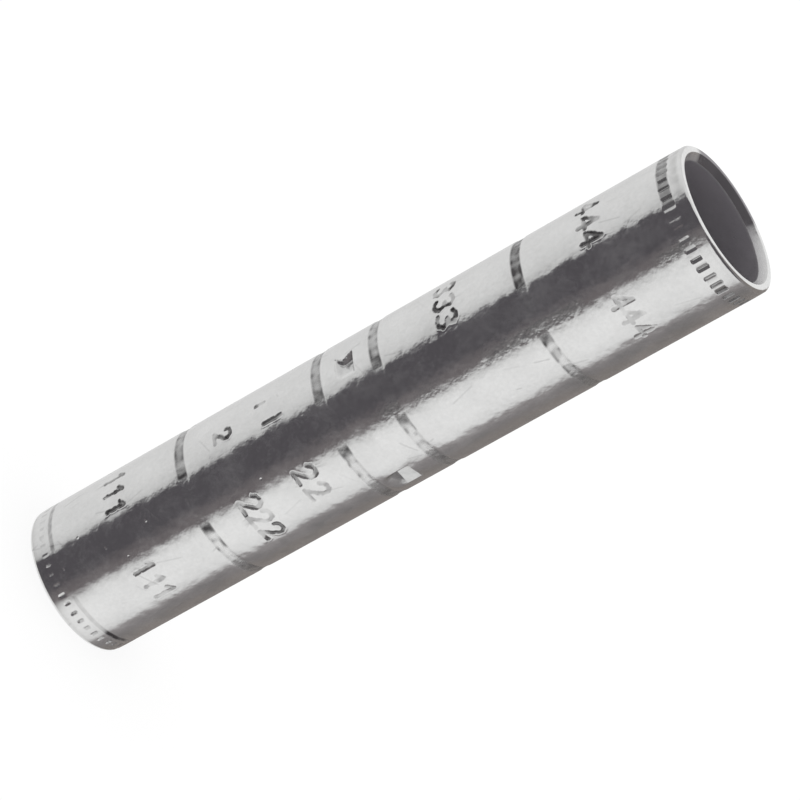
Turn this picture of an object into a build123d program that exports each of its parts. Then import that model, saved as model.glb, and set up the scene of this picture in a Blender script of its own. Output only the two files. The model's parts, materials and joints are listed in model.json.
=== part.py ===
from build123d import *
import os

# Butt splice connector: one tin-plated copper tube that joins two stranded
# conductors end to end. Each half takes one conductor, pushed in as far as the
# stop dents at mid-length, and is crimped once in each zone between its rings.
#
# Millimetres. The tube stands on one end. Its axis is +Z and the origin is the
# centre of the lower end face. A bearing is an angle about +Z, in degrees,
# counted from the front (-Y) towards the right (+X).

# Tube
barrel_diameter = 16.7
wall = 1.45
outer_edge_radius = 0.35
mouth_bevel_width = 0.6  # how far the bevel widens the bore at each mouth
mouth_bevel_depth = 0.75  # how far it reaches in

# Lengths along the tube: end margin, crimp zones, centre zone, and the same back out
end_margin = 2.25
crimp_zone_length = 17.7
crimp_zones_per_side = 2
centre_zone_length = 7.3

# Rolled rings between the zones, and the fine line by the lower end
ring_width = 1.2
ring_depth = 0.16
ring_side_run = 0.15  # how far each side slopes along the tube
line_width = 0.4
line_depth = 0.06
line_above_lower_row = 1.1

# Rows of V-shaped knurl marks, one round each end
marks_per_row = 45
mark_depth = 0.2
upper_mark_length = 1.25
lower_mark_length = 0.6
lower_row_drop = 0.6  # the lower row is that much nearer its end than the upper one
upper_row_bearing = 6.7  # of one mark in each row
lower_row_bearing = 2.6

# Stop dents, punched in from outside so that they stand out in the bore. Each is a wedge
# across the tube: a steep heel on its left, and a long ramp back out on its right.
dent_bearings = (-49, 59, 185)
dent_width = 3.0  # around the tube, at the outer surface
dent_length = 2.1  # along the tube, at the outer surface
dent_depth = 0.95
dent_heel_run = 0.9  # how much of the width the heel takes
dent_end_run = 0.4  # how far each end slopes along the tube
dent_corner_radius = 0.3  # where the heel and the ramp meet the ends
dent_rim_radius = 0.12
stop_nose_radius = 0.25
waist_depth = 0.1  # the punches also squeeze the bore in a little, all round
waist_margin = 0.6  # how far that waist reaches past the dents, each way

# Worked out from the sizes above
outer_radius = barrel_diameter / 2
bore_radius = outer_radius - wall
mid_wall_radius = (bore_radius + outer_radius) / 2
side_length = end_margin + crimp_zones_per_side * crimp_zone_length
barrel_length = 2 * side_length + centre_zone_length
mid_height = barrel_length / 2
lower_row_height = end_margin - lower_row_drop
upper_row_height = barrel_length - end_margin
cutter_stand_out = 0.5  # how far a cutter reaches out of the surface that it cuts


def bare_tube():
    """The tube alone, with rounded edges, bevelled mouths and a slight waist in its bore."""
    face_inner = bore_radius + mouth_bevel_width
    waist_reach = dent_length / 2 + waist_margin
    top = barrel_length
    section = Polyline(
        (face_inner, 0),
        (outer_radius, 0),
        (outer_radius, top),
        (face_inner, top),
        (bore_radius, top - mouth_bevel_depth),
        (bore_radius, mid_height + waist_reach),
        (bore_radius - waist_depth, mid_height),
        (bore_radius, mid_height - waist_reach),
        (bore_radius, mouth_bevel_depth),
        close=True,
    )
    outline = make_face(section)
    outline = fillet(outline.vertices().group_by(Axis.X)[-1], outer_edge_radius)
    return revolve(Plane.XZ * outline, Axis.Z)


def rolled_ring(height):
    """A shallow groove all round the tube: a flat floor between sloping sides."""
    floor_radius = outer_radius - ring_depth
    lip_radius = outer_radius + ring_depth
    half_floor = ring_width / 2 - ring_side_run
    half_lip = ring_width / 2 + ring_side_run
    section = Polyline(
        (floor_radius, height - half_floor),
        (lip_radius, height - half_lip),
        (lip_radius, height + half_lip),
        (floor_radius, height + half_floor),
        close=True,
    )
    return revolve(Plane.XZ * make_face(section), Axis.Z)


def fine_line():
    """The V-shaped line next to the lower row of knurl marks."""
    height = lower_row_height + line_above_lower_row
    section = Polyline(
        (outer_radius - line_depth, height),
        (outer_radius + line_depth, height - line_width),
        (outer_radius + line_depth, height + line_width),
        close=True,
    )
    return revolve(Plane.XZ * make_face(section), Axis.Z)


def crimp_rings():
    """The rings that bound the crimp zones, the same on both halves."""
    rings = []
    for zone in range(1, crimp_zones_per_side + 1):
        from_end = end_margin + zone * crimp_zone_length
        for height in (from_end, barrel_length - from_end):
            rings.append(rolled_ring(height))
    return rings


def knurl_row(height, mark_length, first_bearing):
    """V notches that run along the tube, evenly spaced all round it."""
    notch_side = mark_depth * 2**0.5
    notch = Rot(0, 0, 45) * Box(notch_side, notch_side, mark_length)
    pitch = 360 / marks_per_row
    return [
        Rot(0, 0, first_bearing + mark * pitch) * Pos(0, -outer_radius, height) * notch
        for mark in range(marks_per_row)
    ]


def dent_wedge(nose_at, back_at):
    """The wedge of a dent at the front of the tube, from its nose out to its back.

    Both are distances from the tube's axis. Its sides keep their slopes at any size."""
    rim_drop = outer_radius - (outer_radius**2 - (dent_width / 2) ** 2) ** 0.5
    growth = (back_at - nose_at) / (dent_depth - rim_drop)
    nose_x = dent_heel_run - dent_width / 2
    across = Polyline(
        (nose_x, -nose_at),
        (nose_x - dent_heel_run * growth, -back_at),
        (nose_x + (dent_width - dent_heel_run) * growth, -back_at),
        close=True,
    )
    half_nose = dent_length / 2 - dent_end_run
    half_back = half_nose + dent_end_run * growth
    along = Polyline(
        (-nose_at, -half_nose),
        (-nose_at, half_nose),
        (-back_at, half_back),
        (-back_at, -half_back),
        close=True,
    )
    ramp = extrude(make_face(across), dent_length * growth, both=True)
    ends = extrude(Plane.YZ * make_face(along), dent_width * growth, both=True)
    return ramp & ends


def dent_cutter():
    """What the punch takes out of the outer surface."""
    wedge = dent_wedge(outer_radius - dent_depth, outer_radius + cutter_stand_out)
    corners = [edge for edge in wedge.edges() if len(edge.vertices().group_by(Axis.Y)) > 1]
    return fillet(corners, dent_corner_radius)


def stop():
    """The metal that a dent pushes into the bore, as far as the dent is deep."""
    wedge = dent_wedge(bore_radius - dent_depth, mid_wall_radius)
    nose = wedge.edges().sort_by(Axis.Y)[-1]
    return fillet(nose, stop_nose_radius) & Cylinder(mid_wall_radius, 2 * dent_width)


def at_each_dent(block):
    """Copies of a block from the front of the tube, one at each dent's place."""
    return [Pos(0, 0, mid_height) * Rot(0, 0, bearing) * block for bearing in dent_bearings]


def dent_rims(barrel):
    """The edges that the dents leave in the outer surface."""

    def on_outer_surface(edge):
        near_mid = abs(edge.center().Z - mid_height) < dent_length
        distances = [Vector(v.X, v.Y).length for v in edge.vertices()]
        on_surface = all(abs(d - outer_radius) < 1e-3 for d in distances)
        return near_mid and on_surface and edge.length < 2 * dent_width

    return barrel.edges().filter_by(on_outer_surface)


def add_stop_dents(barrel):
    """Punch the dents. The metal under each keeps its thickness and moves into the bore."""
    barrel += at_each_dent(stop())
    barrel -= at_each_dent(dent_cutter())
    return fillet(dent_rims(barrel), dent_rim_radius)


def splice_barrel():
    barrel = add_stop_dents(bare_tube())
    barrel -= crimp_rings()
    barrel -= fine_line()
    barrel -= knurl_row(lower_row_height, lower_mark_length, lower_row_bearing)
    barrel -= knurl_row(upper_row_height, upper_mark_length, upper_row_bearing)
    return barrel


os.makedirs("parts", exist_ok=True)
export_step(splice_barrel(), "parts/splice_barrel.step")
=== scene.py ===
import json
import math

import bpy
import numpy as np
from mathutils import Matrix, Vector


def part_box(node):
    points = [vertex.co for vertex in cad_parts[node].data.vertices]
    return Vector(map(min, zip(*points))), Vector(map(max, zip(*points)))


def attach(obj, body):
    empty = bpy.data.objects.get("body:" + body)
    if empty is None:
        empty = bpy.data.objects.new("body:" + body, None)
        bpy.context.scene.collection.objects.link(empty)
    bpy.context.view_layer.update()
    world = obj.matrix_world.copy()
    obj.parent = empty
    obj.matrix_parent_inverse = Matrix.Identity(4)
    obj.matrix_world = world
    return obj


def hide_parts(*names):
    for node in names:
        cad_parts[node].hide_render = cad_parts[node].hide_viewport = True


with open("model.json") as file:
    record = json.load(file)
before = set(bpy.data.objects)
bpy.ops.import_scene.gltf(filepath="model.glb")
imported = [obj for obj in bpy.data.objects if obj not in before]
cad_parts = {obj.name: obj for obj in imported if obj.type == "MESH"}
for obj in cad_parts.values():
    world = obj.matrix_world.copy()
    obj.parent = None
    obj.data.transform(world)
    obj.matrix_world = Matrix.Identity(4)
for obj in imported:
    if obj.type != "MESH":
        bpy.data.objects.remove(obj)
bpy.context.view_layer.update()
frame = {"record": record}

# The tube's own sizes come from the frame. Lengths here are in millimetres, and a side is
# an angle round the tube in degrees: 0 faces the front, +90 faces left and -90 faces right.
# A stretch of sides is written as where it starts, where it ends and how soft its ends are.
mm = 0.001
barrelNode = "splice_barrel"
low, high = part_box(barrelNode)
outerRadius = (high.x - low.x) / 2 / mm
tubeLength = (high.z - low.z) / mm
midHeight = tubeLength / 2
mounts = {mount["name"]: mount for mount in frame["record"]["mounts"]}
boreRadius = mounts["conductor_entry_upper"]["dims"]["r_mm"]
print("frame loaded: radius", round(outerRadius, 3), "length", round(tubeLength, 3))

cameraSet = {
    "roll": 29.282,
    "lookDown": 21.984,
    "lens": 195.9,
    "distance": 53.826,  # this and the next two are in outer radii
    "tubeLeft": 0.1036,
    "tubeDown": 0.0711,
    "clip": (0.01, 20),  # in metres
}


def makeCamera(c):
    roll = math.radians(c["roll"])
    tilt = math.radians(c["lookDown"])
    back = Vector((0, -math.cos(tilt), math.sin(tilt)))
    across = Vector((1, 0, 0))
    upright = Vector((0, math.sin(tilt), math.cos(tilt)))
    right = math.sin(roll) * across + math.cos(roll) * upright
    up = -math.cos(roll) * across + math.sin(roll) * upright
    centre = Vector((0, 0, midHeight * mm))
    offset = c["tubeLeft"] * right + c["tubeDown"] * up + c["distance"] * back
    data = bpy.data.cameras.new("photoCamera")
    data.lens = c["lens"]
    data.clip_start, data.clip_end = c["clip"]
    cam = bpy.data.objects.new("photoCamera", data)
    bpy.context.scene.collection.objects.link(cam)
    turn = Matrix((right, up, back)).transposed().to_4x4()
    cam.matrix_world = Matrix.Translation(centre + outerRadius * mm * offset) @ turn
    bpy.context.scene.camera = cam


makeCamera(cameraSet)
print("camera set")


def smooth(t):
    t = np.clip(t, 0, 1)
    return t * t * (3 - 2 * t)


def blend(a, b, share):
    return a + (b - a) * share


def wrapped(angle):
    return (angle + 180) % 360 - 180


def window(value, start, end, soft):
    return smooth((value - start) / soft + 0.5) * smooth((end - value) / soft + 0.5)


# 1, but only a share of that on a stretch of sides
def lessOn(s, sides, share):
    return 1 - (1 - share) * window(s, *sides)


def arcLength(angle):
    return np.radians(angle) * outerRadius


def smoothMin(a, b, k):
    h = np.clip(0.5 + 0.5 * (b - a) / k, 0, 1)
    return b + (a - b) * h - k * h * (1 - h)


# Smooth noise from 0 to 1 on the unrolled wall, in cells of a size in millimetres
def grain(side, z, size, seed):
    around = round(2 * math.pi * outerRadius / size)
    table = np.random.default_rng(seed).random((around, round(tubeLength / size) + 3))
    u = side % 360 / 360 * around
    v = np.clip(z, 0, tubeLength) / size
    i = np.floor(u).astype(int)
    j = np.floor(v).astype(int)
    a = smooth(u - i)
    b = smooth(v - j)
    lower = table[i % around, j] * (1 - a) + table[(i + 1) % around, j] * a
    upper = table[i % around, j + 1] * (1 - a) + table[(i + 1) % around, j + 1] * a
    return lower * (1 - b) + upper * b


# What the marks change at points of the wall: how deep it is cut, how high its lips stand,
# how much soil and painted shade darken it, how hazy and rubbed it is, and its painted glint
def plainWall(side):
    return {name: np.zeros(side.shape) for name in ("cut", "lip", "soil", "haze", "rubbed", "bare")}


# Each level where it is higher than what is there
def raiseTo(wall, **levels):
    for name, level in levels.items():
        wall[name] = np.maximum(wall[name], level)


film = {  # a thin uneven film of soil, with painted shade added on the right side, and darker towards the ends
    "grain": 3.1,
    "fineGrain": 1.1,
    "shares": (0.55, 0.45),  # of the two grains
    "start": 0.38,
    "spread": 0.35,
    "soil": 0.04,
    "lowSoil": 0.27,  # painted shade on the right side
    "rightSides": (-130, -50, 10),
    "rimSoil": 0.3,  # where the ends get thinner
    "endSoil": 0.3,  # above the upper row of marks, on the left
    "endReach": 1.6,
    "endFade": 0.4,
    "endGrain": 0.7,
    "endSides": (24, 130, 16),
    "seed": 11,
}


def spreadFilm(wall, side, z, thinned):
    s = wrapped(side)
    broad = grain(side, z, film["grain"], film["seed"])
    fine = grain(side, z, film["fineGrain"], film["seed"] + 1)
    mixed = film["shares"][0] * broad + film["shares"][1] * fine
    patchy = smooth((mixed - film["start"]) / film["spread"])
    byEnd = smooth((z - tubeLength + film["endReach"]) / film["endFade"]) * window(s, *film["endSides"])
    # Patchy soil, with painted shade added on the right side, then darker towards the ends
    raiseTo(wall, soil=patchy * blend(film["soil"], film["lowSoil"], window(s, *film["rightSides"])))
    raiseTo(wall, soil=film["rimSoil"] * thinned**2)
    raiseTo(wall, soil=film["endSoil"] * byEnd * grain(side, z, film["endGrain"], film["seed"]))


rings = {
    "width": 1.2,
    "depth": 0.075,
    "side": 0.6,  # how far each side slopes along the tube
    "soil": (0.5, 0.42, 0.42, 0.74),  # soil and painted shade, one for each ring, from the lower end up
    "soilShares": (0.7, 0.6),  # of that: the least, and how much the grain adds
    "soilFade": 0.2,
    "smears": ((29, 38, 0.85), (-16, -9, 0.7), (-110, -47, 0.5)),  # from side, to side, soil and painted shade
    "smearShares": (0.6, 0.8),
    "smearFade": 5,
    "frontSides": (-8, 28, 5),
    "frontShare": 0.1,  # how much of the soil and painted shade is left there
    "frontHaze": 0.4,
    "edgeWidth": 0.16,
    "edgeSoil": 0.3,  # how much more painted shade and soil there is along the edges
    "lowSides": (-47, -13, 5),  # the lower bright side, where there are only specks
    "specks": (0.06, 0.38),  # the least soil there, and how much the specks add
    "speckStart": 0.5,
    "speckSpread": 0.3,
    "innerShare": 0.65,  # of the specks, between the edges
    "edgeShare": 1.2,  # and along them
    "lowEdgeSoil": 0.25,
    "grain": 0.55,
    "margin": 0.2,  # how far the finer rows and columns of points reach past a mark
    "columnStep": 1.5,
    "rowStep": 0.1,
    "seed": 3,
}

# The rings lie where the two inner crimping zones end.
ringHeights = []
for zoneName in ("crimp_zone_2", "crimp_zone_3"):
    zoneCentre = mounts[zoneName]["pos_m"][2] / mm
    zoneHalf = (mounts[zoneName]["dims"]["length_mm"] + rings["width"]) / 2
    ringHeights += [zoneCentre - zoneHalf, zoneCentre + zoneHalf]


# Soil and painted shade on a rolled ring, set side by side: an even film with smears, more along the edges,
# little at the front, and only specks on the lower bright side
def ringDarkening(side, z, ringDarkness, onEdge):
    s = wrapped(side)
    fleck = grain(side, z, rings["grain"], rings["seed"])
    least, added = rings["soilShares"]
    darkening = ringDarkness * (least + added * fleck) + rings["edgeSoil"] * onEdge * fleck
    least, added = rings["specks"]
    specks = least + added * smooth((fleck - rings["speckStart"]) / rings["speckSpread"])
    specks = specks * blend(rings["innerShare"], rings["edgeShare"], onEdge)
    specks = specks + rings["lowEdgeSoil"] * onEdge * fleck
    darkening = blend(darkening, specks, window(s, *rings["lowSides"]))
    least, added = rings["smearShares"]
    for start, end, smear in rings["smears"]:
        darkening = blend(darkening, smear * (least + added * fleck), window(s, start, end, rings["smearFade"]))
    return darkening * lessOn(s, rings["frontSides"], rings["frontShare"])


def rollRings(wall, side, z):
    s = wrapped(side)
    for ringHeight, ringDarkness in zip(ringHeights, rings["soil"]):
        away = np.abs(z - ringHeight) - rings["width"] / 2
        wall["cut"] = wall["cut"] + rings["depth"] * smooth(0.5 - away / rings["side"])
        inRing = smooth(0.5 - away / rings["soilFade"])
        onEdge = np.exp(-(((away + rings["edgeWidth"]) / rings["edgeWidth"]) ** 2))
        raiseTo(wall, soil=ringDarkening(side, z, ringDarkness, onEdge) * inRing)
        raiseTo(wall, haze=inRing * lessOn(s, rings["frontSides"], rings["frontHaze"]))


fineLine = {
    "height": 2.75,
    "width": 0.5,
    "depth": 0.025,
    "soil": 0.42,
    "lowSides": (-50, 8, 16),
    "lowShare": 0.4,  # how much of the soil and painted shade is left there
    "frontSides": (-8, 28, 6),
    "frontShare": 0.1,
    "rightSides": (-72, -44, 8),
    "rightSoil": 0.9,
    "soilShares": (0.4, 1.1),
    "soilReach": 1.5,  # in half widths
    "grain": 0.6,
    "margin": 0.15,
    "rowStep": 0.07,
    "seed": 5,
}


def rollFineLine(wall, side, z):
    s = wrapped(side)
    away = np.abs(z - fineLine["height"]) / (fineLine["width"] / 2)
    wall["cut"] = wall["cut"] + fineLine["depth"] * np.clip(1 - away, 0, 1)
    # Soil and painted shade in the groove, set side by side: less on the lower bright side and at the
    # front, most on the right
    darkening = fineLine["soil"] * lessOn(s, fineLine["lowSides"], fineLine["lowShare"])
    darkening = darkening * lessOn(s, fineLine["frontSides"], fineLine["frontShare"])
    darkening = blend(darkening, fineLine["rightSoil"], window(s, *fineLine["rightSides"]))
    least, added = fineLine["soilShares"]
    darkening = darkening * (least + added * grain(side, z, fineLine["grain"], fineLine["seed"]))
    raiseTo(wall, soil=darkening * smooth(fineLine["soilReach"] - away))


knurl = {  # what both rows of marks share
    "count": 45,
    "placeShift": 0.3,  # how far chance moves a mark round the tube
    "lengthShift": 0.5,
    "heightShift": 0.2,
    "soilSideFade": 0.12,
    "soilEndFade": 0.16,
    "bandFade": 0.2,
    "leftSides": (26, 110, 10),
    "frontSides": (-8, 28, 8),
    "frontSoil": 0.1,
    "lowSides": (-41, -8, 8),
    "bareSides": (-4, 28, 6),
    "bareFrom": (3, 0.8),  # slope and start of the painted glint, against a mark's depth
    "rowMargin": 0.2,
    "columnMargin": 0.25,
    "columnReach": 2.25,
    "columnStep": 0.75,
}
upperTicks = {
    "height": tubeLength - 2.25,
    "length": 1.25,
    "endFade": 0.16,
    "depth": 0.19,
    "halfWidth": 0.3,
    "phase": 1.3,
    "uneven": 0.25,
    "soil": 0.8,
    "bandSoil": 0.75,  # painted shade between the marks, on the left side
    "leftShare": 0.8,  # how much of a mark is left there
    "frontShare": 0.3,  # and at the front
    "bare": 0.2,  # how much painted glint the marks show at the front
    "lowSoil": 0.45,  # how much of the soil and painted shade is left on the lower bright side
    "rowStep": 0.1,
    "seed": 4,
}
lowerTicks = {  # the same of the other row
    "height": 1.65,
    "length": 0.68,
    "endFade": 0.42,
    "depth": 0.2,
    "halfWidth": 0.25,
    "phase": 5.4,
    "uneven": 0.3,
    "soil": 0.42,
    "bandSoil": 0.05,
    "leftShare": 0.3,
    "frontShare": 0.75,
    "bare": 1.0,
    "lowSoil": 0.6,
    "rowStep": 0.07,
    "seed": 9,
}


# A row of short V notches: how deep it cuts, and how much soil and painted shade darken it, set side by
# side
def tickRow(side, z, t):
    rng = np.random.default_rng(t["seed"])
    chance = rng.uniform(-1, 1, (4, knurl["count"])) * t["uneven"]
    pitch = 360 / knurl["count"]
    number = np.round((side - t["phase"]) / pitch).astype(int)
    k = number % knurl["count"]
    across = arcLength(side - t["phase"] - number * pitch) + knurl["placeShift"] * chance[0, k]
    reach = t["length"] / 2 * (1 + knurl["lengthShift"] * chance[1, k])
    past = np.abs(z - t["height"] - knurl["heightShift"] * chance[2, k]) - reach
    s = wrapped(side)
    onLeft = window(s, *knurl["leftSides"])
    onFront = window(s, *knurl["frontSides"])
    share = 1 - (1 - t["leftShare"]) * onLeft - (1 - t["frontShare"]) * onFront
    notch = np.clip(1 - np.abs(across) / t["halfWidth"], 0, 1) * smooth(0.5 - past / t["endFade"])
    block = smooth((t["halfWidth"] - np.abs(across)) / knurl["soilSideFade"] + 0.5)
    block = block * smooth(0.5 - past / knurl["soilEndFade"])
    block = block * share * (1 - (1 - knurl["frontSoil"]) * onFront)
    block = block * lessOn(s, knurl["lowSides"], t["lowSoil"])
    band = smooth(0.5 - (np.abs(z - t["height"]) - t["length"] / 2) / knurl["bandFade"])
    darkening = t["soil"] * np.maximum(block, band * onLeft * t["bandSoil"])
    return t["depth"] * (1 + chance[3, k]) * share * notch, darkening


def pressTicks(wall, side, z):
    slope, start = knurl["bareFrom"]
    for t in (upperTicks, lowerTicks):
        tick, darkening = tickRow(side, z, t)
        raiseTo(wall, cut=tick, soil=darkening)
        # At the front the marks are made less metallic: a painted glint in the mirrored dark band
        inTick = smooth(tick / t["depth"] * slope - start) * window(wrapped(side), *knurl["bareSides"])
        raiseTo(wall, haze=inTick, bare=t["bare"] * inTick)


stamps = {
    "height": 2.35,
    "stroke": 0.5,
    "depth": 0.13,
    "lipHeight": 0.02,
    "lipWidth": 0.1,
    "soilFade": 0.12,
    "grain": 0.35,
    "strokeShares": (0.7, 0.6),  # of a stroke's width: the least, and how much the grain adds
    "soilShares": (0.8, 0.3),  # the same of the painted shade and soil in it
    "wearGrain": 1.1,
    "wornShare": 0.3,  # how much is left where a figure is most worn
    "wearStart": 0.25,
    "wearSpread": 0.3,
    "reach": 0.75,  # how far from its middle a figure is looked for, in its own heights
    "halfWidth": 0.42,
    "rowMargin": 0.3,
    "columnMargin": 0.35,
    "sideMargin": 2,
    "rowStep": 0.1,
    "columnStep": 0.75,
    "seed": 6,
}
# Digits as strokes in a box one unit high, centred on the origin, reading towards +x
digitStrokes = {
    "1": [(-0.2, 0.28), (0.03, 0.5), (0.03, -0.5)],
    "2": [(-0.3, 0.27), (-0.2, 0.44), (-0.02, 0.5), (0.18, 0.46), (0.29, 0.3), (0.26, 0.12),
          (0.1, -0.08), (-0.3, -0.5), (0.32, -0.5)],
    "3": [(-0.28, 0.38), (-0.1, 0.5), (0.13, 0.48), (0.25, 0.33), (0.2, 0.12), (-0.03, 0.04),
          (0.22, -0.06), (0.3, -0.26), (0.18, -0.45), (-0.05, -0.5), (-0.3, -0.37)],
    "4": [(0.14, -0.5), (0.14, 0.5), (-0.32, -0.18), (0.32, -0.18)],
    "bar": [(0.0, -0.5), (0.0, 0.5)],
}
# Stamped marks, each zone's plain number and two bars: glyph, place as a share of the tube's
# length, side, size and strength
stampMarks = [
    ("1", 0.137, 64, 1.0, 0.7), ("1", 0.137, 49, 1.0, 1.0), ("1", 0.137, 35, 1.0, 0.9),
    ("1", 0.137, -15, 1.0, 0.55), ("1", 0.137, -28, 1.0, 0.5), ("1", 0.137, -40, 1.0, 0.6),
    ("2", 0.31, 45, 0.85, 1.0), ("bar", 0.37, 54, 0.45, 0.8), ("bar", 0.385, 35, 0.9, 0.8),
    ("2", 0.31, -12, 1.0, 0.8), ("2", 0.31, -25, 1.0, 0.45), ("2", 0.31, -39, 1.0, 0.9),
    ("2", 0.395, -12, 1.0, 0.6), ("2", 0.395, -28, 1.0, 0.4),
    ("3", 0.652, 67, 1.0, 1.15), ("3", 0.652, 51, 1.0, 1.3), ("3", 0.652, 36, 1.0, 1.3),
    ("4", 0.865, 68, 1.05, 1.1), ("4", 0.865, 51, 1.05, 1.1), ("4", 0.865, 36, 1.05, 0.9),
    ("4", 0.865, -15, 1.0, 0.35), ("4", 0.865, -28, 1.0, 0.3), ("4", 0.865, -43, 1.0, 0.35),
]


# How far points are from a figure's strokes
def strokeDistance(u, v, line):
    best = np.full(u.shape, math.inf)
    for (x0, y0), (x1, y1) in zip(line[:-1], line[1:]):
        dx = x1 - x0
        dy = y1 - y0
        t = np.clip(((u - x0) * dx + (v - y0) * dy) / (dx * dx + dy * dy), 0, 1)
        best = np.minimum(best, np.hypot(u - x0 - t * dx, v - y0 - t * dy))
    return best


def stampFigures(wall, side, z):
    for glyph, share, at, size, strength in stampMarks:
        scale = stamps["height"] * size
        u = -arcLength(wrapped(side - at)) / scale
        v = (z - share * tubeLength) / scale
        near = (np.abs(u) < stamps["reach"]) & (np.abs(v) < stamps["reach"])
        if not near.any():
            continue
        away = strokeDistance(u[near], v[near], digitStrokes[glyph]) * scale
        worn = grain(side[near], z[near], stamps["grain"], stamps["seed"])
        kept = grain(side[near], z[near], stamps["wearGrain"], stamps["seed"])
        kept = smooth((kept - stamps["wearStart"]) / stamps["wearSpread"])
        force = strength * (stamps["wornShare"] + (1 - stamps["wornShare"]) * kept)
        least, added = stamps["strokeShares"]
        half = stamps["stroke"] / 2 * (least + added * worn)
        mark = stamps["depth"] * force * np.clip(1 - (away / half) ** 2, 0, 1)
        least, added = stamps["soilShares"]
        # The strokes are filled dark: painted shade in the recess, partly soil
        filled = force * (least + added * worn) * smooth((half - away) / stamps["soilFade"] + 0.5)
        ridge = stamps["lipHeight"] * force * np.exp(-(((away - half) / stamps["lipWidth"] - 1) ** 2))
        for name, level in (("cut", mark), ("soil", np.minimum(filled, 1)), ("lip", ridge)):
            wall[name][near] = np.maximum(wall[name][near], level)


scuff = {  # a long rubbed streak on the front, towards the upper end
    "side": -3.0,
    "halfWidth": 4.5,
    "sideFade": 4,
    "fromShare": 0.52,
    "toShare": 0.985,
    "endFade": 0.04,
    "haze": 0.7,
    "soil": 0.4,
    "cleanSides": (-90, -7.5, 3),
    "grain": 2.2,
    "start": 0.2,
    "spread": 0.3,
    "endMargins": (0.03, 0.01),
    "sideMargin": 2,
    "columnStep": 1.0,
    "seed": 8,
}


def rubStreak(wall, side, z):
    s = wrapped(side)
    start, end = scuff["side"] - scuff["halfWidth"], scuff["side"] + scuff["halfWidth"]
    streak = window(s, start, end, scuff["sideFade"])
    along = window(z / tubeLength, scuff["fromShare"], scuff["toShare"], scuff["endFade"])
    patchy = smooth((grain(side, z, scuff["grain"], scuff["seed"]) - scuff["start"]) / scuff["spread"])
    rubbed = streak * along * patchy
    darkening = scuff["soil"] * rubbed * (1 - window(s, *scuff["cleanSides"]))
    raiseTo(wall, rubbed=rubbed, haze=scuff["haze"] * rubbed, soil=darkening)


dents = {
    "sides": (47.5, -57.5, -185),
    "stations": (-1.0, -0.2, 0.85),  # above mid-length, for the slopes and the bows
    "rampSlopes": ((0.22, 0.19, 0.24), (0.36, 0.34, 0.31), (0.36, 0.36, 0.36)),
    "rampEnds": (1.9, 1.5, 1.5),  # how far each ramp reaches from its dent's middle
    "bows": ((0.27, 0.97, 0.27), (0.0, 0.0, 0.0), (0.0, 0.0, 0.0)),  # how far a heel's edge bends in
    "below": (1.15, 1.7, 1.05),  # how far each reaches, from mid-length down
    "above": (1.05, 0.6, 1.05),
    "lowerRuns": (0.75, 0.5, 0.4),  # how far each end slopes along the tube
    "upperRuns": (0.1, 0.2, 0.4),
    "width": 3.0,
    "length": 2.1,
    "heelSlope": 1.1,
    "rim": 0.06,
    "corner": 0.05,
    "nearTurn": 0.6,  # how far round a dent is looked for, in radians
    "rounds": 4,  # how often a point's place on a slope is worked out again
    # painted shade in the pressed dents, and then on their end slopes
    "soil": 0.12,
    "haze": 0.5,
    "pressedFrom": (0.05, 0.2),  # depth at which a dent's finish starts, and its fade
    "endSoil": (0.05, 0.35, 0.3),
    "endSoilFade": 0.1,
    "endSoilEdge": 4,  # how sharply that painted shade starts up the slope
    "waistDepth": 0.1,
    "waistMargin": 0.6,
    "margin": 0.3,
    "sideMargin": 3,
    "rowStep": 0.08,
    "columnStep": 0.6,
}


# The wall's distance from the tube's axis with the dents in it, and the painted shade on the dents' end
# slopes
def dentedRadius(side, z, wallRadius, face):
    d = dents
    rimDrop = face - math.sqrt(face**2 - (d["width"] / 2) ** 2)
    found = np.array(wallRadius, float)
    endSoil = np.zeros(side.shape)
    for k, dentSide in enumerate(d["sides"]):
        turn = np.radians(wrapped(side - dentSide))
        near = (np.abs(turn) < d["nearTurn"]) & (np.abs(z - midHeight) < d["length"])
        if not near.any():
            continue
        turnNear = turn[near]
        up = z[near] - midHeight
        rampSlope = np.interp(up, d["stations"], d["rampSlopes"][k])
        heelEdge = np.interp(up, d["stations"], d["bows"][k]) - d["width"] / 2
        lower = np.clip((up + d["below"][k]) / d["lowerRuns"][k], 0, 1)
        upper = np.clip((d["above"][k] - up) / d["upperRuns"][k], 0, 1)
        r = np.full(up.shape, face)
        for step in range(d["rounds"]):
            u = -r * np.sin(turnNear)
            heel = d["heelSlope"] * (u - heelEdge)
            ramp = rampSlope * (d["rampEnds"][k] - u)
            inward = smoothMin(heel, ramp, d["corner"]) * np.minimum(lower, upper)
            chord = (face - rimDrop - inward) / np.cos(turnNear)
            r = np.minimum(np.where(inward > 0, chord, face + 1), face + 1)
        found[near] = smoothMin(found[near], r, d["rim"])
        sloped = d["endSoilEdge"] * (1 - np.minimum(lower, upper))
        onEnd = smooth(sloped) * smooth(inward / d["endSoilFade"])
        endSoil[near] = np.maximum(endSoil[near], onEnd * d["endSoil"][k])
    return found, endSoil


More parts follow.
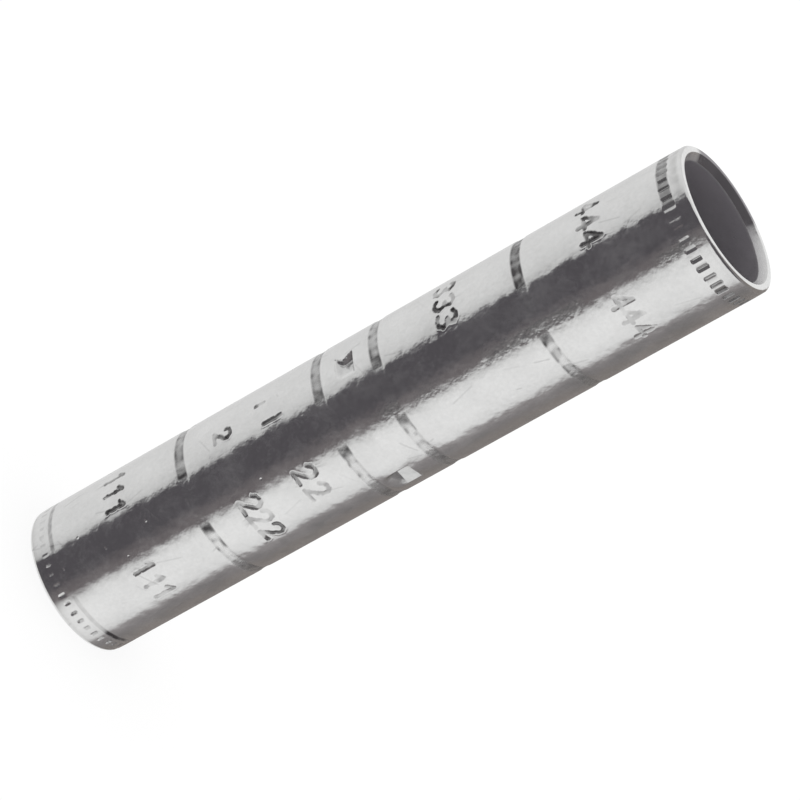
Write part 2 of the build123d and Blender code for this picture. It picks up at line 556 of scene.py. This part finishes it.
barrel = {
    "edgeRound": 0.35,
    "edgeSteps": 7,
    "mouthBevel": 0.6,
    "mouthDepth": 0.75,
    "mouthEdge": 0.05,  # how softly the bevel starts and ends
    "shadedSides": (114, 194, 12),  # where each rim and bevel has painted shade
    "rimFinish": (0.5, 0.92),  # painted shade there: the dark tone, and the share of the bore's painted shade
    "bevelFinish": (1.8, 0.3),
    "endHaze": 0.15,
    "endTaper": 0.05,  # how much thinner the tube is at its very ends
    "endTaperReach": 1.6,
    "endTaperBend": 1.5,
    "rowStep": 1.5,
    "columnStep": 3.0,
    "leastRowStep": 0.065,  # a row closer than this to the one below is left out
    "endRow": 0.8,  # one more row is this far from each end
    "boreRowCount": 14,
    "boreRowMargins": (0.2, 0.3),  # next to the mouth and to the stops
    "boreRowStep": 0.1,
    "boreDentReach": 16,  # how far round each stop the columns are finer
    "boreDentStep": 0.75,
    "scrapedSides": (-170, 170, 10),  # all but the strip where the unrolled wall is cut
}


# Radius of the outer wall, and how much soil and painted shade darken it, how hazy and rubbed it is, and
# its painted glint
def outerWall(side, z):
    fromEnd = np.minimum(z, tubeLength - z)
    thinned = np.clip(1 - fromEnd / barrel["endTaperReach"], 0, 1) ** barrel["endTaperBend"]
    wall = plainWall(side)
    spreadFilm(wall, side, z, thinned)
    rollRings(wall, side, z)
    rollFineLine(wall, side, z)
    pressTicks(wall, side, z)
    stampFigures(wall, side, z)
    rubStreak(wall, side, z)
    undented = outerRadius - barrel["endTaper"] * thinned - wall["cut"] + wall["lip"]
    radius, endSoil = dentedRadius(side, z, undented, outerRadius)
    start, fade = dents["pressedFrom"]
    pressed = smooth((undented - radius - start) / fade)
    # Painted shade in the pressed dents and on their end slopes
    raiseTo(wall, soil=dents["soil"] * pressed + endSoil, haze=dents["haze"] * pressed)
    return radius, wall["soil"], wall["haze"], wall["rubbed"], wall["bare"]


# The same of the bore
def boreWall(side, z):
    reach = dents["length"] / 2 + dents["waistMargin"]
    waist = dents["waistDepth"] * np.clip(1 - np.abs(z - midHeight) / reach, 0, 1)
    radius = dentedRadius(side, z, boreRadius - waist, boreRadius)[0]
    clean = np.zeros(side.shape)
    return radius, clean, clean, clean, clean


# Values spread evenly about a centre, about a step apart
def span(centre, half, step):
    count = max(2, round(2 * half / step) + 1)
    return np.linspace(centre - half, centre + half, count)


# Sides on a quarter-degree grid, each once
def gridded(columns):
    return np.unique(np.round(columns * 4).astype(int) % 1440) / 4


# The sides at which a row round the outer wall has its points
def columnsAt(z):
    columns = [np.arange(0, 360, barrel["columnStep"])]
    if min(abs(z - ringHeight) for ringHeight in ringHeights) <= rings["width"] / 2 + rings["margin"]:
        columns.append(np.arange(0, 360, rings["columnStep"]))
    for t in (upperTicks, lowerTicks):
        if abs(z - t["height"]) <= t["length"] / 2 + knurl["columnMargin"]:
            for k in range(knurl["count"]):
                at = t["phase"] + k * 360 / knurl["count"]
                columns.append(span(at, knurl["columnReach"], knurl["columnStep"]))
    for glyph, share, at, size, strength in stampMarks:
        scale = stamps["height"] * size
        if abs(z - share * tubeLength) <= scale / 2 + stamps["columnMargin"]:
            half = math.degrees(stamps["halfWidth"] * scale / outerRadius) + stamps["sideMargin"]
            columns.append(span(at, half, stamps["columnStep"]))
    if abs(z - midHeight) <= dents["length"] / 2 + dents["margin"]:
        half = math.degrees(dents["width"] / 2 / outerRadius) + dents["sideMargin"]
        for dentSide in dents["sides"]:
            columns.append(span(dentSide, half, dents["columnStep"]))
    before, after = scuff["endMargins"]
    if scuff["fromShare"] - before < z / tubeLength < scuff["toShare"] + after:
        columns.append(span(scuff["side"], scuff["halfWidth"] + scuff["sideMargin"], scuff["columnStep"]))
    return gridded(np.concatenate(columns))


# Heights of the rows round the outer wall, closer together at each mark and a little beyond
def outerRows():
    edge, near = barrel["edgeRound"], barrel["endRow"]
    rows = [np.arange(1, tubeLength, barrel["rowStep"]), [edge, near, tubeLength - near, tubeLength - edge]]
    for ringHeight in ringHeights:
        rows.append(span(ringHeight, rings["width"] / 2 + rings["margin"], rings["rowStep"]))
    rows.append(span(fineLine["height"], fineLine["width"] / 2 + fineLine["margin"], fineLine["rowStep"]))
    for t in (upperTicks, lowerTicks):
        rows.append(span(t["height"], t["length"] / 2 + knurl["rowMargin"], t["rowStep"]))
    for share, size in sorted({(mark[1], mark[3]) for mark in stampMarks}):
        half = stamps["height"] * size / 2 + stamps["rowMargin"]
        rows.append(span(share * tubeLength, half, stamps["rowStep"]))
    rows.append(span(midHeight, dents["length"] / 2 + dents["margin"], dents["rowStep"]))
    z = np.unique(np.round(np.concatenate(rows), 3))
    z = z[(z >= edge) & (z <= tubeLength - edge)]
    kept = [z[0]]
    for height in z[1:]:
        if height - kept[-1] > barrel["leastRowStep"]:
            kept.append(height)
    return kept


# Rings of points on a wall, with normals from the slopes of its radius, facing being 1 for a
# wall that faces out and -1 for one that faces the axis
def wallRings(rows, wallAt, facing, inBore):
    sides = np.concatenate([columns for z, columns in rows])
    heights = np.concatenate([np.full(len(columns), z) for z, columns in rows])
    stepZ = 0.02
    stepSide = 0.15
    radius, soil, haze, rubbed, bare = wallAt(sides, heights)
    slopeZ = (wallAt(sides, heights + stepZ)[0] - wallAt(sides, heights - stepZ)[0]) / (2 * stepZ)
    slopeSide = wallAt(sides + stepSide, heights)[0] - wallAt(sides - stepSide, heights)[0]
    slopeSide = slopeSide / (2 * math.radians(stepSide)) / radius
    a = np.radians(sides)
    zero = np.zeros_like(a)
    out = np.stack([-np.sin(a), -np.cos(a), zero], -1)
    tangent = np.stack([-np.cos(a), np.sin(a), zero], -1)
    normals = out - tangent * slopeSide[:, None]
    normals[:, 2] -= slopeZ
    points = out * radius[:, None]
    points[:, 2] = heights
    cuts = np.cumsum([len(columns) for z, columns in rows])[:-1]
    made = (sides, points, facing * normals, soil, haze, rubbed, bare, zero + inBore)
    return list(zip(*(np.split(values, cuts) for values in made)))


# The rounded edge, the flat rim and the bevelled mouth of one end, from the outside in:
# radius, depth below the end, the normal outwards and upwards, and how much of the bore's painted shade it
# takes
def endProfile(wallRadius):
    edge = barrel["edgeRound"]
    soft = barrel["mouthEdge"]
    depth = barrel["mouthDepth"]
    mouthRadius = boreRadius + barrel["mouthBevel"]
    profile = []
    for k in range(1, barrel["edgeSteps"] + 1):
        t = k / barrel["edgeSteps"] * math.pi / 2
        around = wallRadius - edge + edge * math.cos(t)
        profile.append((around, edge * (1 - math.sin(t)), math.cos(t), math.sin(t), 0.0))
    lean = math.atan2(depth, barrel["mouthBevel"])
    inward = -math.sin(lean)
    upward = math.cos(lean)
    profile.append((mouthRadius + soft, 0.0, 0.0, 1.0, 0.0))
    profile.append((mouthRadius, 0.015, 0.55 * inward, 0.8, 0.1))
    profile.append((mouthRadius - soft, 0.07, inward, upward, 0.2))
    profile.append((boreRadius + soft, depth - 0.06, inward, upward, 0.5))
    profile.append((boreRadius, depth, -1.0, 0.0, 0.8))
    return profile


# The rings of points of one end, up being 1 for the upper end and -1 for the lower one
def endRings(wallRadius, endHeight, up):
    made = []
    sides = np.arange(0, 360, barrel["columnStep"])
    a = np.radians(sides)
    one = np.ones_like(a)
    for radius, down, normalOut, normalUp, inBore in endProfile(wallRadius):
        points = np.stack([-radius * np.sin(a), -radius * np.cos(a), (endHeight - up * down) * one], -1)
        normals = np.stack([-normalOut * np.sin(a), -normalOut * np.cos(a), up * normalUp * one], -1)
        # Painted shade on the far side of the rim and bevel, in the dark tone and the bore's painted shade
        shaded = window(sides, *barrel["shadedSides"]) * (1 if normalUp > 0.5 else 0)
        paintedShadeThere, boreShadeThere = barrel["bevelFinish"] if normalOut < 0 else barrel["rimFinish"]
        haze = barrel["endHaze"] * one
        made.append((sides, points, normals, paintedShadeThere * shaded, haze, 0 * one, 0 * one,
                     blend(inBore, boreShadeThere, shaded)))
    return made


# Faces between two rings that need not have the same points
def joinRings(a, startA, b, startB):
    faces = []
    i = 0
    j = 0
    endA = np.append(a, a[0] + 360)
    endB = np.append(b, b[0] + 360)
    while i < len(a) or j < len(b):
        if i < len(a) and j < len(b) and endA[i + 1] == endB[j + 1] and endA[i] == endB[j]:
            faces.append((startA + i, startB + j, startB + (j + 1) % len(b), startA + (i + 1) % len(a)))
            i += 1
            j += 1
        elif j >= len(b) or (i < len(a) and endA[i + 1] <= endB[j + 1]):
            faces.append((startA + i, startB + j % len(b), startA + (i + 1) % len(a)))
            i += 1
        else:
            faces.append((startA + i % len(a), startB + j, startB + (j + 1) % len(b)))
            j += 1
    return faces


# The rows of the bore, from the upper mouth down, closer together at the stops
def boreRows():
    coarse = np.arange(0, 360, barrel["columnStep"])
    reach, step = barrel["boreDentReach"], barrel["boreDentStep"]
    dentSides = np.concatenate([span(dentSide, reach, step) for dentSide in dents["sides"]])
    fine = gridded(np.concatenate([coarse, dentSides]))
    waistReach = dents["length"] / 2 + dents["waistMargin"]
    byMouth, byStops = barrel["boreRowMargins"]
    top = tubeLength - barrel["mouthDepth"] - byMouth
    plainRows = np.linspace(top, midHeight + waistReach + byStops, barrel["boreRowCount"])
    stopRows = span(midHeight, waistReach, barrel["boreRowStep"])[::-1]
    heights = [*plainRows, *stopRows, *(tubeLength - plainRows[::-1])]
    return [(z, fine if abs(z - midHeight) < dents["length"] else coarse) for z in heights]


def buildBarrel():
    outer = wallRings([(z, columnsAt(z)) for z in outerRows()], outerWall, 1, 0)
    endRadius = float(np.mean(np.hypot(outer[-1][1][:, 0], outer[-1][1][:, 1])))
    # The bore takes the bore's painted shade in full
    bore = wallRings(boreRows(), boreWall, -1, 1)
    allRings = outer + endRings(endRadius, tubeLength, 1) + bore + endRings(endRadius, 0, -1)[::-1]

    faces = []
    starts = np.concatenate([[0], np.cumsum([len(ring[0]) for ring in allRings])])
    for k, ring in enumerate(allRings):
        following = (k + 1) % len(allRings)
        faces += joinRings(ring[0], int(starts[k]), allRings[following][0], int(starts[following]))
    joined = [np.concatenate([ring[k] for ring in allRings]) for k in range(len(allRings[0]))]
    sides, points, normals, soil, haze, rubbed, bare, inBore = joined
    around = arcLength(wrapped(sides)) * mm
    scraped = window(wrapped(sides), *barrel["scrapedSides"])
    normals = normals / np.linalg.norm(normals, axis=1, keepdims=True)
    mesh = bpy.data.meshes.new("barrelTube")
    mesh.from_pydata((points * mm).tolist(), [], faces)
    painted = {"soil": soil, "haze": haze, "rubbed": rubbed, "bare": bare, "bore": inBore,
               "around": around, "scraped": scraped}
    for name, values in painted.items():
        attribute = mesh.attributes.new(name, "FLOAT", "POINT")
        attribute.data.foreach_set("value", values.astype(np.float32))
    mesh.polygons.foreach_set("use_smooth", [True] * len(mesh.polygons))
    mesh.normals_split_custom_set_from_vertices(normals.tolist())
    tube = bpy.data.objects.new("barrelTube", mesh)
    bpy.context.scene.collection.objects.link(tube)
    print("barrel mesh:", len(points), "points,", sum(len(face) - 2 for face in faces), "triangles")
    return tube


# A material's nodes: add makes one from its type, its settings and the values or links of its
# sockets, and n0, n1 and so on name a socket by its number
class Net:
    def __init__(self, owner):
        owner.use_nodes = True
        self.tree = owner.node_tree
        self.tree.nodes.clear()

    def add(self, kind, settings=None, **sockets):
        node = self.tree.nodes.new(kind)
        for name, value in (settings or {}).items():
            setattr(node, name, value)
        for name, value in sockets.items():
            numbered = name[0] == "n" and name[1:].isdigit()
            socket = node.inputs[int(name[1:]) if numbered else name.replace("_", " ")]
            if isinstance(value, Wire):
                self.tree.links.new(value.socket, socket)
            else:
                socket.default_value = value
        return node

    def wire(self, kind, settings=None, output=0, **sockets):
        return Wire(self, self.add(kind, settings, **sockets).outputs[output])


# A socket whose value can be used in sums
class Wire:
    def __init__(self, net, socket):
        self.net = net
        self.socket = socket

    def maths(self, operation, a, b, clamp=False):
        return self.net.wire("ShaderNodeMath", {"operation": operation, "use_clamp": clamp}, n0=a, n1=b)

    def __add__(self, other):
        return self.maths("ADD", self, other)

    def __radd__(self, other):
        return self.maths("ADD", other, self)

    def __sub__(self, other):
        return self.maths("SUBTRACT", self, other)

    def __rsub__(self, other):
        return self.maths("SUBTRACT", other, self)

    def __mul__(self, other):
        return self.maths("MULTIPLY", self, other)

    def __rmul__(self, other):
        return self.maths("MULTIPLY", other, self)

    def __abs__(self):
        return self.net.wire("ShaderNodeMath", {"operation": "ABSOLUTE"}, n0=self)

    def clamped(self):
        return self.maths("ADD", self, 0.0, clamp=True)


metal = {
    "tone": (0.735, 0.735, 0.73),
    # dark tone of soil and painted shade
    "soilTone": (0.068, 0.064, 0.066),
    # painted shade inside the bore
    "boreTone": (0.235, 0.22, 0.24),
    "borePlate": 0.2,  # how metallic the bore's painted shade is, then the soil and painted shade, and the marks' painted glint
    "soilPlate": 0.55,
    "barePlate": 0.55,
    "blotches": 1300.0,  # this and the next two are grains per metre
    "mottles": 240.0,
    "specks": 2600.0,
    "grimeShares": (0.55, 0.9),  # of the soil and painted shade: the least, and how much the blotches add
    "dustShares": (0.6, 0.4),  # of the mottles and the blotches
    "dust": (0.45, 5.0, 0.06),  # where it starts, how sharply, and how much less metallic it is
    "mottling": 0.16,
    "roughness": 0.04,
    "mottleRoughness": 0.08,
    "speckRoughness": 0.05,
    "hazeRoughness": 0.3,
    "boreRoughness": 0.45,
    "waves": ((110, 0.00007), (620, 0.00007), (2300, 0.000014)),  # grains per metre, height in metres
    "haze": (2400, 0.00004),  # the same where the marks are hazy
    "rub": (1300, 0.00011),  # and on the rubbed streak
    "pits": (480, 0.085, 0.00008, 0.26),  # cells per metre, share of one, depth in metres, how many
    "scratches": (0.0013, 0.0032, 0.00016, 0.09),  # apart, long and wide in metres, share of cells
    "slants": (0.3, -0.25, 1.1),
    "scratchPlaces": (0.2, 0.6),  # across its cell: the least, and how much chance adds
    "scratchReach": (0.1, 0.4),  # the same of half its length
    "scratchEnds": 12.0,  # how sharp they are
    "scratchSoil": 0.17,
    "scratchDepth": 0.0000015,
    "keepEdge": 40.0,  # how sharply a cell is kept or dropped
}


def tinPlate(m):
    material = bpy.data.materials.new("brightTin")
    net = Net(material)
    place = net.wire("ShaderNodeTexCoord", output="Object")

    def readWall(name):
        return net.wire("ShaderNodeAttribute", {"attribute_name": name}, output="Fac")

    def noise(scale, detail):
        return net.wire("ShaderNodeTexNoise", Vector=place, Scale=scale, Detail=detail)

    def mixed(share, a, b):
        return net.wire("ShaderNodeMix", {"data_type": "RGBA"}, 2, n0=share, n6=a, n7=(*b, 1))

    # Straight scratches at one slant: at most one to a cell of the unrolled wall
    def scratchLines(slant):
        apart, long, wide, share = m["scratches"]
        up = net.wire("ShaderNodeSeparateXYZ", Vector=place, output=2)
        flat = net.wire("ShaderNodeCombineXYZ", X=readWall("around"), Y=up)
        cellPlace = net.wire("ShaderNodeMapping", {"vector_type": "TEXTURE"}, Vector=flat,
                             Rotation=(0.0, 0.0, slant), Scale=(apart, long, 1.0))
        cell = net.wire("ShaderNodeVectorMath", {"operation": "FLOOR"}, n0=cellPlace)
        inCell = net.wire("ShaderNodeVectorMath", {"operation": "FRACTION"}, n0=cellPlace)
        within = net.add("ShaderNodeSeparateXYZ", Vector=inCell)
        chance = net.add("ShaderNodeTexWhiteNoise", {"noise_dimensions": "3D"}, Vector=cell)
        shades = net.add("ShaderNodeSeparateColor", Color=Wire(net, chance.outputs["Color"]))
        shift, reach, bite = (Wire(net, shades.outputs[k]) for k in range(3))
        least, added = m["scratchPlaces"]
        off = abs(Wire(net, within.outputs[0]) - least - shift * added)
        end = abs(Wire(net, within.outputs[1]) - 0.5)
        least, added = m["scratchReach"]
        line = (1.0 - off * (apart / wide)).clamped()
        line = line * ((least + reach * added - end) * m["scratchEnds"]).clamped()
        kept = ((share - Wire(net, chance.outputs["Value"])) * m["keepEdge"]).clamped()
        return line * kept * bite * readWall("scraped")

    soil = readWall("soil")
    haze = readWall("haze")
    bore = readWall("bore")
    blotch = noise(m["blotches"], 2.0)
    mottle = noise(m["mottles"], 3.0)
    speckle = noise(m["specks"], 2.0)
    first, second, third = (scratchLines(slant) for slant in m["slants"])
    scratched = first + second + third
    least, added = m["grimeShares"]
    grimeAndShade = (soil * (least + added * blotch) + scratched * m["scratchSoil"]).clamped()
    clean = net.wire("ShaderNodeVectorMath", {"operation": "SCALE"}, n0=m["tone"],
                     Scale=1.0 + (mottle + speckle - 1.0) * m["mottling"])
    # Soil and painted shade in the dark tone, and the bore's painted shade in the bore tone
    colour = mixed(bore, mixed(grimeAndShade, clean, m["soilTone"]), m["boreTone"])
    roughness = m["roughness"] + mottle * m["mottleRoughness"] + speckle * m["speckRoughness"]
    roughness = roughness + haze * blotch * m["hazeRoughness"] + bore * m["boreRoughness"]
    mottleShare, blotchShare = m["dustShares"]
    dustFrom, dustEdge, dustDull = m["dust"]
    dust = ((mottleShare * mottle + blotchShare * blotch - dustFrom) * dustEdge).clamped() * dustDull
    # Less metallic for soil and painted shade, for the marks' painted glint, and for dust
    lessMetallic = grimeAndShade * (1.0 - m["soilPlate"]) + readWall("bare") * (1.0 - m["barePlate"]) + dust
    metallic = (1.0 - bore * (1.0 - m["borePlate"]) - lessMetallic).clamped()

    height = haze * (noise(m["haze"][0], 1.0) - 0.5) * m["haze"][1] - scratched * m["scratchDepth"]
    height = height + readWall("rubbed") * (noise(m["rub"][0], 2.0) - 0.5) * m["rub"][1]
    for scale, depth in m["waves"]:
        height = height + noise(scale, 1.0) * depth
    pitGrain, pitShare, pitDepth, pitCells = m["pits"]
    cells = net.add("ShaderNodeTexVoronoi", Vector=place, Scale=pitGrain)
    split = net.wire("ShaderNodeSeparateColor", Color=Wire(net, cells.outputs["Color"]))
    pit = (1.0 - Wire(net, cells.outputs["Distance"]) * (1.0 / pitShare)).clamped()
    height = height - pit * ((pitCells - split) * m["keepEdge"]).clamped() * pitDepth
    bump = net.wire("ShaderNodeBump", Strength=1.0, Distance=1.0, Height=height)
    shader = net.wire("ShaderNodeBsdfPrincipled", Base_Color=colour, Metallic=metallic,
                      Roughness=roughness, Normal=bump)
    net.add("ShaderNodeOutputMaterial", Surface=shader)
    return material


barrelTube = buildBarrel()
barrelTube.data.materials.append(tinPlate(metal))
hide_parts(barrelNode)
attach(barrelTube, "root")
print("barrel dressed")

studio = {
    "floorGlow": 0.78,
    "floorTone": 0.25,
    "floorHalf": 3000,
    "reach": 320,
    "lift": 0.3,
    "floorRings": (0, 10, 40, 100, 200),
    "riseStep": 5,
    "turnStep": 0.5,
    "white": (1.0, 1.0, 1.0),
    "dark": (0.105, 0.098, 0.108),
    "darkLow": (0.188, 0.17, 0.175),
    "dim": (0.86, 0.86, 0.86),
    "grey": (0.242, 0.228, 0.23),
    "brown": (0.262, 0.238, 0.226),
    "leftEdge": 57.5,  # where the tones meet, as turns round the tube
    "rightEdge": -14,
    "greyEdge": -94.5,
    "leftFade": 8,
    "rightFade": 14,
    "greyFade": 14,
    "darkFrom": (-6, 22),  # turn at which the dark tone starts to deepen, and over how much
    "brownFrom": (110, 30),  # the same of the brown tone, to the right
    "greyGlow": (8, 0.35, 7),  # how far past its edge, how much and how far the grey tone glows
    "frontShades": ((6, 0.24, 7), (8, 0.15, 10)),  # the same of the white tone's two ends
    "frontTop": (18, 14),  # rise at which the white tone ends, and its fade
    "leftShade": (0.36, 13),  # how much darker the left tone is by its edge, and how far
    "farLeft": (120, 40, 0.1),  # turn from which it is darker again, its fade, and how much
    "behind": (168, 400, 8),  # turns of the bright tone behind the tube, and how soft their ends are
    "behindRise": (2, 8),  # rise at which it starts, and its fade
    "behindShare": 0.95,
}


# Full strength away from an edge, and a little less beside it
def shoulder(away, share, fade):
    return 1 - share * np.exp(-np.maximum(away, 0) / fade)


# What the metal mirrors, by turn round the tube and by height in degrees above the floor
def surroundTone(turn, rise):
    s = {name: np.array(studio[name]) for name in ("white", "dark", "darkLow", "dim", "grey", "brown")}
    pastLeft = turn - studio["leftEdge"]
    pastRight = studio["rightEdge"] - turn
    pastGrey = studio["greyEdge"] - turn
    start, fade = studio["darkFrom"]
    darkTone = blend(s["darkLow"], s["dark"], smooth((turn - start) / fade))
    start, fade = studio["brownFrom"]
    greyTone = blend(s["grey"], s["brown"], smooth((-turn - start) / fade))
    start, share, fade = studio["greyGlow"]
    greyTone = greyTone * (1 + share * math.exp(-max(pastGrey - start, 0) / fade))
    byDark, byGrey = studio["frontShades"]
    front = s["white"] * shoulder(pastRight - byDark[0], *byDark[1:])
    front = front * shoulder(-pastGrey - byGrey[0], *byGrey[1:])
    start, fade = studio["frontTop"]
    frontTone = blend(front, s["dark"], smooth((rise - start) / fade))
    start, fade, share = studio["farLeft"]
    tone = s["dim"] * shoulder(pastLeft, *studio["leftShade"]) * (1 - share * smooth((turn - start) / fade))
    tone = blend(tone, darkTone, smooth(0.5 - pastLeft / studio["leftFade"]))
    tone = blend(tone, frontTone, smooth(pastRight / studio["rightFade"] + 0.5))
    tone = blend(tone, greyTone, smooth(pastGrey / studio["greyFade"] + 0.5))
    start, fade = studio["behindRise"]
    behind = window(abs(turn), *studio["behind"]) * smooth((rise - start) / fade)
    return blend(tone, s["white"] * studio["behindShare"], behind)


# A floor and a dome that only reflections see
def surround():
    turns = np.arange(-180, 180 + studio["turnStep"], studio["turnStep"])
    rows = [(reach, 0.0, 0.0) for reach in studio["floorRings"]]
    for rise in range(0, 91, studio["riseStep"]):
        r = math.radians(rise)
        rows.append((studio["reach"] * math.cos(r), studio["reach"] * math.sin(r), float(rise)))
    points = []
    tones = []
    for reach, height, rise in rows:
        for turn in turns:
            half = math.radians(turn / 2)
            full = math.radians(turn)
            x = -outerRadius * math.sin(half) - reach * math.sin(full)
            y = -outerRadius * math.cos(half) - reach * math.cos(full)
            points.append((x * mm, y * mm, (height + studio["lift"]) * mm))
            tones.append((*surroundTone(turn, rise), 1.0))
    count = len(turns)
    faces = []
    for row in range(len(rows) - 1):
        for k in range(count - 1):
            first = row * count + k
            faces.append((first, first + 1, first + count + 1, first + count))
    mesh = bpy.data.meshes.new("surround")
    mesh.from_pydata(points, [], faces)
    attribute = mesh.attributes.new("tone", "FLOAT_COLOR", "POINT")
    attribute.data.foreach_set("color", np.array(tones, np.float32).ravel())
    material = bpy.data.materials.new("surroundTone")
    net = Net(material)
    tone = net.wire("ShaderNodeAttribute", {"attribute_name": "tone"}, output="Color")
    net.add("ShaderNodeOutputMaterial", Surface=net.wire("ShaderNodeEmission", Color=tone, Strength=1.0))
    mesh.materials.append(material)
    dome = bpy.data.objects.new("surround", mesh)
    bpy.context.scene.collection.objects.link(dome)
    dome.visible_camera = False
    dome.visible_diffuse = False
    dome.visible_shadow = False
    dome.visible_transmission = False
    dome.visible_volume_scatter = False


def paleFloor():
    half = studio["floorHalf"] * mm
    corners = [(-half, -half, 0), (half, -half, 0), (half, half, 0), (-half, half, 0)]
    mesh = bpy.data.meshes.new("floor")
    mesh.from_pydata(corners, [], [(0, 1, 2, 3)])
    material = bpy.data.materials.new("paleFloor")
    net = Net(material)
    seen = 0.0
    for ray in ("Is Camera Ray", "Is Glossy Ray", "Is Transmission Ray"):
        seen = net.wire("ShaderNodeLightPath", output=ray) + seen
    glow = net.wire("ShaderNodeEmission", Color=(1, 1, 1, 1), Strength=seen * studio["floorGlow"])
    base = net.wire("ShaderNodeBsdfDiffuse", Color=(studio["floorTone"],) * 3 + (1,))
    net.add("ShaderNodeOutputMaterial", Surface=net.wire("ShaderNodeAddShader", n0=glow, n1=base))
    mesh.materials.append(material)
    floor = bpy.data.objects.new("floor", mesh)
    bpy.context.scene.collection.objects.link(floor)


def softLight():
    world = bpy.data.worlds.new("studio")
    bpy.context.scene.world = world
    net = Net(world)
    background = net.wire("ShaderNodeBackground", Color=(1, 1, 1, 1), Strength=1.0)
    net.add("ShaderNodeOutputWorld", Surface=background)


surround()
paleFloor()
softLight()
bpy.context.scene.view_settings.view_transform = "Standard"
print("stage ready")
